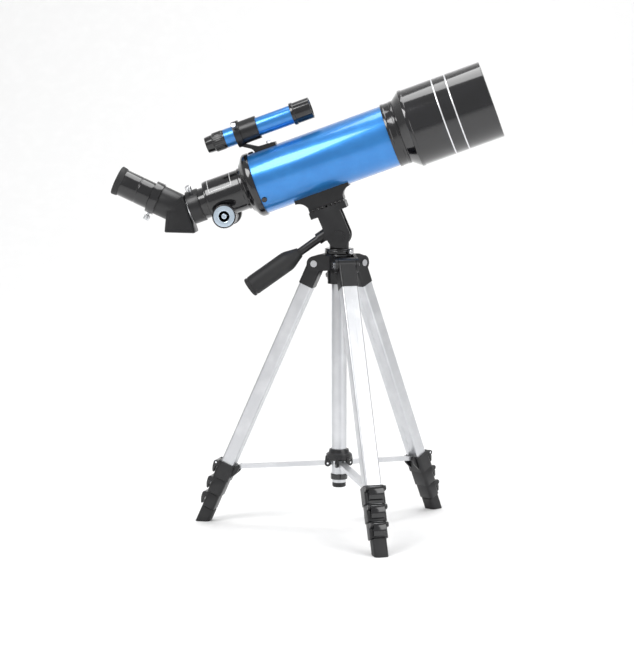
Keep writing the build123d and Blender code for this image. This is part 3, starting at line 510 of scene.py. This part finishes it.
def finder_scope():
    """The finder: blue tube, black end cells, its ring with screws, and the sleeve of the bracket."""
    turned("finder_tube_shell", FINDER, AHEAD,
           [(-0.092, 0.0108), (-0.092, FINDER_RADIUS), (-0.003, FINDER_RADIUS), (-0.003, 0.0108)], BLUE,
           "tilt_head", ["finder_tube"])
    turned("finder_front_cell", FINDER, AHEAD,
           [(-0.004, 0.0108), (-0.004, 0.01415), (0.0, 0.01415), (0.0002, 0.0133), (0.021, 0.0133), (0.021, 0.0118),
            (0.008, 0.0112), (0.008, 0.0108)], GLOSS_BLACK, "tilt_head", ["finder_tube"])
    turned("finder_objective", FINDER, AHEAD,
           [(0.004, 0), (0.0045, 0.0111), (0.0065, 0.0111), (0.008, 0)], GLASS, "tilt_head", ["finder_tube"],
           soft=0.0)
    turned("finder_eye_cell", FINDER, AHEAD,
           [(-0.117, 0.0068), (-0.117, 0.0100), (-0.1075, 0.0107), (-0.1065, 0.0120), (-0.0945, 0.0120),
            (-0.094, 0.0117), (-0.0918, 0.0117), (-0.0918, 0.0068)], GLOSS_BLACK, "tilt_head", ["finder_tube"],
           ripples=36, ripple_depth=0.0003, ripple_span=(-0.1062, -0.0948, 0.0115))
    turned("finder_eye_lens", FINDER, AHEAD,
           [(-0.1150, 0), (-0.1142, 0.0069), (-0.1125, 0.0069), (-0.1110, 0)], GLASS, "tilt_head",
           ["finder_tube"], soft=0.0)
    dress(["finder_bracket"], SATIN_BLACK)
    for turn_angle in (30, 150):
        angle = np.radians(turn_angle)
        thumbscrew(f"finder_screw_{turn_angle}", FINDER - AHEAD * 0.075,
                   NEAR * np.cos(angle) + ABOVE * np.sin(angle), 0.0125, 0.0165, 0.025, "tilt_head",
                   ["finder_screws"], head=0.0032)
    for side in (-1, 1):
        turned(f"finder_nut_{'near' if side > 0 else 'far'}", OPTICS - AHEAD * 0.043 + NEAR * 0.006 * side, ABOVE,
               [(0.0420, 0), (0.0420, 0.0026), (0.0450, 0.0026), (0.0460, 0.0015), (0.0460, 0)], CHROME,
               "tilt_head", ["finder_screws"], ripples=14, ripple_depth=0.0002,
               ripple_span=(0.0422, 0.0455, 0.0022))


# ------------------------------------------------------------------ head and column
def head():
    """The pan joint, tilt yoke, platform and handle."""
    dress(["tilt_yoke", "platform", "saddle", "pan_neck", "shoulder", "spreader_hub"], SATIN_BLACK)
    up = np.array([0.0, 0.0, 1.0])
    turned("pan_base_disc", (0, 0, 0), up,
           [(0.330, 0), (0.330, 0.0074), (0.3453, 0.0074), (0.3453, 0.0172), (0.3460, 0.018), (0.3490, 0.018),
            (0.3494, 0.0175), (0.3500, 0.0175), (0.3504, 0.018), (0.3513, 0.018), (0.352, 0.0172), (0.352, 0.006),
            (0.356, 0.006), (0.356, 0)], GLOSS_BLACK, "column", ["pan_base"])
    thumbscrew("pan_lock_head", np.array(JOINTS["pan_lock_turn"]["pos_m"]), JOINTS["pan_lock_turn"]["axis"],
               0.0182, 0.0185, 0.025, "pan_lock", ["pan_lock_screw"], head=0.0034)
    screw = np.array(JOINTS["camera_screw_turn"]["pos_m"]) - ABOVE * 0.020
    turned("camera_screw_knob", screw, ABOVE,
           [(0.016, 0), (0.016, 0.0125), (0.017, 0.0132), (0.024, 0.0132), (0.025, 0.0125), (0.025, 0.006),
            (0.0301, 0.006), (0.0301, 0.003), (0.0475, 0.003), (0.0475, 0)], SATIN_BLACK, "camera_screw",
           ["camera_screw"], ripples=30, ripple_depth=0.0008, ripple_span=(0.0162, 0.0248, 0.0128))
    handle = np.array(JOINTS["handle_turn"]["pos_m"])
    along = unit(JOINTS["handle_turn"]["axis"])
    turned("handle_bar", handle, along, [(-0.004, 0), (-0.004, 0.005), (0.039, 0.005), (0.039, 0)], SATIN_BLACK,
           "pan_handle", ["handle_rod"])
    turned("handle_grip_shell", handle, along,
           [(0.037, 0), (0.037, 0.0062), (0.04, 0.0072), (0.053, 0.0118), (0.057, 0.0125), (0.1088, 0.0125),
            (0.1094, 0.0118), (0.1106, 0.0118), (0.1112, 0.0125), (0.1135, 0.0125), (0.1145, 0.0112), (0.1145, 0)],
           RUBBER, "pan_handle", ["handle_grip"], soft=0.001)


def column():
    """Guide tube, stop ring, sliding column and end cap."""
    up = np.array([0.0, 0.0, 1.0])
    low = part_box("guide_tube")[0].z
    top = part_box("guide_tube")[1].z
    turned("guide_tube_shell", (0, 0, 0), up,
           [(low, COLUMN_RADIUS + 0.00005), (low, GUIDE_RADIUS), (top, GUIDE_RADIUS),
            (top, COLUMN_RADIUS + 0.00005)], SILVER, "shoulder", ["guide_tube"])
    turned("guide_stop_ring", (0, 0, 0), up,
           [(low, GUIDE_RADIUS), (low, 0.0107), (low + 0.007, 0.0107), (low + 0.007, GUIDE_RADIUS)], GLOSS_BLACK,
           "shoulder", ["guide_tube"], soft=0.0008)
    dress(["centre_column"], SILVER)
    dress(["column_end_cap", "column_lock_knob"], SATIN_BLACK)
    dress(["shoulder_screws", "hub_pins"], CHROME)


# ------------------------------------------------------------------ legs
def leg_axes(number):
    """A leg's pivot at the shoulder and its directions: down the leg, outwards and across."""
    down = unit(JOINTS[f"leg_{number}_stage_2_slide"]["axis"])
    level = unit([down[0], down[1], 0])
    across = np.cross([0.0, 0.0, 1.0], level)
    out = np.cross(down, across)
    out = out if out[2] > 0 else -out
    strut_pin = np.array(JOINTS[f"leg_{number}_swing"]["pos_m"])
    pivot = strut_pin + out * STRUT_INSET - down * STRUT_FOOT
    return pivot, (down, out, across)


def leg(number):
    """One leg: knuckle, grooved outer tube, three stages with collars and levers, and the foot."""
    pivot, axes = leg_axes(number)
    down, out, across = axes
    body = f"leg_{number}"
    dress([f"leg_{number}_fittings"], SATIN_BLACK)
    dress([f"leg_{number}_tube"], SILVER)
    dress([f"strut_{number}"], SILVER)
    for stage in (1, 2, 3):
        depth = TUBE_DEPTH - stage * STAGE_STEP
        width = TUBE_WIDTH - stage * STAGE_STEP
        node = f"leg_{number}_stage_{stage + 1}"
        top = 0.062 + 0.008 * (stage - 1)
        end = FOOT_TOP + 0.004 if stage == 3 else COLLAR_TOPS[stage] + 0.017
        sleeve(f"{node}_tube", pivot, axes, top, end, depth, width, 0.0018, SILVER, node, [node],
               edge=0.0003)
        if stage < 3:
            below = FOOT_TOP - 0.0005 if stage == 2 else COLLAR_TOPS[stage + 1] - 0.0005
            sleeve(f"{node}_collar", pivot, axes, COLLAR_TOPS[stage], below, depth + COLLAR_RIM,
                   COLLAR_WIDTHS[stage], 0.004, SATIN_BLACK, node, [node])
            lugs(node, stage, pivot, axes)
    foot(number, pivot, axes)
    for index in range(3):
        lever(number, index, pivot, axes)


def lever_place(index):
    """Where a lever turns: distance down the leg and outwards."""
    depth = TUBE_DEPTH - index * STAGE_STEP + COLLAR_RIM
    return COLLAR_TOPS[index] + 0.0045, depth / 2 + 0.0026


def lugs(node, index, pivot, axes):
    """Two round lugs on a collar, one each side of its lever."""
    down, out, across = axes
    along, reach = lever_place(index)
    outer = COLLAR_WIDTHS[index] / 2
    outline = [(along - 0.003, reach - 0.005), (along + 0.003, reach - 0.005), (along + 0.003, reach + 0.0015),
               (along + 0.0012, reach + 0.003), (along - 0.0012, reach + 0.003), (along - 0.003, reach + 0.0015)]
    for side in (1, -1):
        low, high = sorted((side * (outer - 0.003), side * outer))
        plate(f"{node}_lug_{'a' if side > 0 else 'b'}", pivot, (down, out, across), outline, low, high,
              SATIN_BLACK, node, [node], soft=0.0003)


def lever(number, index, pivot, axes):
    """A flip lever: a finger plate whose outside is a smooth bulge, with its pivot barrel."""
    down, out, across = axes
    along, reach = lever_place(index)
    half = COLLAR_WIDTHS[index] / 2 - 0.00335
    outline = [(along - 0.0024, reach - 0.0016), (along - 0.0024, reach + 0.0018), (along - 0.0008, reach + 0.0034),
               (along + 0.003, reach + 0.0038), (along + 0.008, reach + 0.0029), (along + 0.0135, reach + 0.0006),
               (along + 0.0142, reach - 0.0014), (along + 0.009, reach - 0.0006), (along + 0.003, reach - 0.002)]
    node = f"leg_{number}_lever_{index + 1}"
    plate(f"{node}_finger", pivot, (down, out, across), outline, -half, half, GLOSS_BLACK, node, [node],
          soft=0.0007)
    centre = pivot + along * down + reach * out
    turned(f"{node}_barrel", centre, across, [(-half - 0.003, 0), (-half - 0.003, 0.0014), (half + 0.003, 0.0014),
           (half + 0.003, 0)], CHROME, node, [node], soft=0.0002)


def foot(number, pivot, axes):
    """The rubber foot: a rounded block that spreads a little, cut level with the floor."""
    node = f"leg_{number}_stage_4"
    down, out, across = axes
    section = rounded_section(0.0170, 0.0176, 0.004)
    stations = []
    for distance, inset in ((FOOT_TOP, 0.0008), (FOOT_TOP + 0.0006, 0.0), (FOOT_TOP + 0.012, 0.0)):
        stations.append((distance, section * (1 - inset / 0.0085)))
    rings = [pivot + distance * down + shape[:, :1] * out + shape[:, 1:] * across for distance, shape in stations]
    last = rings[-1]
    for height, inward in ((0.0008, 0.0), (0.0, 0.03)):
        drop = (last[:, 2:] - height) / -down[2]
        ring = last + drop * down
        rings.append(ring + (ring.mean(axis=0) - ring) * inward)
    rings[-1][:, 2] = 0.0
    count = len(section)
    faces = grid_faces(len(rings), count, wrap_rows=False)
    faces += [list(range(count))[::-1], list(range((len(rings) - 1) * count, len(rings) * count))]
    piece(f"{node}_foot", np.concatenate(rings), faces, RUBBER, node, [node])


# ------------------------------------------------------------------ surroundings
def studio():
    """A pale floor that curves up behind, a pale sky and three soft lights."""
    across = np.linspace(-4, 4, 2)
    t = np.linspace(0, 1, 60)
    back = np.where(t < 0.5, -4 + 10 * t, 1 + 1.5 * np.sin(np.clip((t - 0.5) * np.pi, 0, np.pi / 2)))
    rise = np.where(t < 0.5, 0, 1.5 * (1 - np.cos(np.clip((t - 0.5) * np.pi, 0, np.pi / 2))))
    rise[-1] = 4
    points = np.array([(x, y, z) for y, z in zip(back, rise) for x in across])
    faces = [[2 * i, 2 * i + 1, 2 * i + 3, 2 * i + 2] for i in range(len(t) - 1)]
    mesh = bpy.data.meshes.new("studio_floor")
    mesh.from_pydata(points.tolist(), [], faces)
    mesh.shade_smooth()
    floor = bpy.data.objects.new("studio_floor", mesh)
    bpy.context.scene.collection.objects.link(floor)
    mesh.materials.append(finish("pale_floor", (0.85, 0.85, 0.85), (0.87, 0.87, 0.87), (0.6, 0.7), grain=30,
                                 bump=0.0))
    world = bpy.data.worlds.new("soft_sky")
    world.use_nodes = True
    world.node_tree.nodes["Background"].inputs["Color"].default_value = (1, 1, 1, 1)
    world.node_tree.nodes["Background"].inputs["Strength"].default_value = 0.55
    bpy.context.scene.world = world
    bpy.context.scene.view_settings.view_transform = "Standard"
    for name, place, size, power in (("key_light", (-1.2, -1.6, 2.2), 1.2, 40),
                                     ("fill_light", (1.8, -1.4, 1.2), 1.4, 20),
                                     ("top_light", (0.2, 0.3, 2.4), 1.6, 34)):
        data = bpy.data.lights.new(name, "AREA")
        data.size = size
        data.energy = power
        lamp = bpy.data.objects.new(name, data)
        bpy.context.scene.collection.objects.link(lamp)
        lamp.location = place
        lamp.rotation_euler = (Vector((0, 0, 0.3)) - Vector(place)).to_track_quat("-Z", "Y").to_euler()


def camera():
    """A long lens in front of the object, a little above its middle and looking slightly down."""
    data = bpy.data.cameras.new("main_camera")
    data.lens = 129.4
    data.sensor_width = 36
    made = bpy.data.objects.new("main_camera", data)
    bpy.context.scene.collection.objects.link(made)
    place = Vector((0.1916, -2.8666, 0.5807))
    aim = Vector((-0.0277, 0.0, 0.2581))
    made.location = place
    made.rotation_euler = (aim - place).to_track_quat("-Z", "Y").to_euler()
    bpy.context.scene.camera = made


tube_and_shield()
lenses()
rear_and_focuser()
focus_knob_set()
drawtube_set()
diagonal_and_eyepiece()
finder_scope()
head()
column()
for leg_number in (1, 2, 3):
    leg(leg_number)
dress(["diagonal_prism"], GLASS)
studio()
camera()
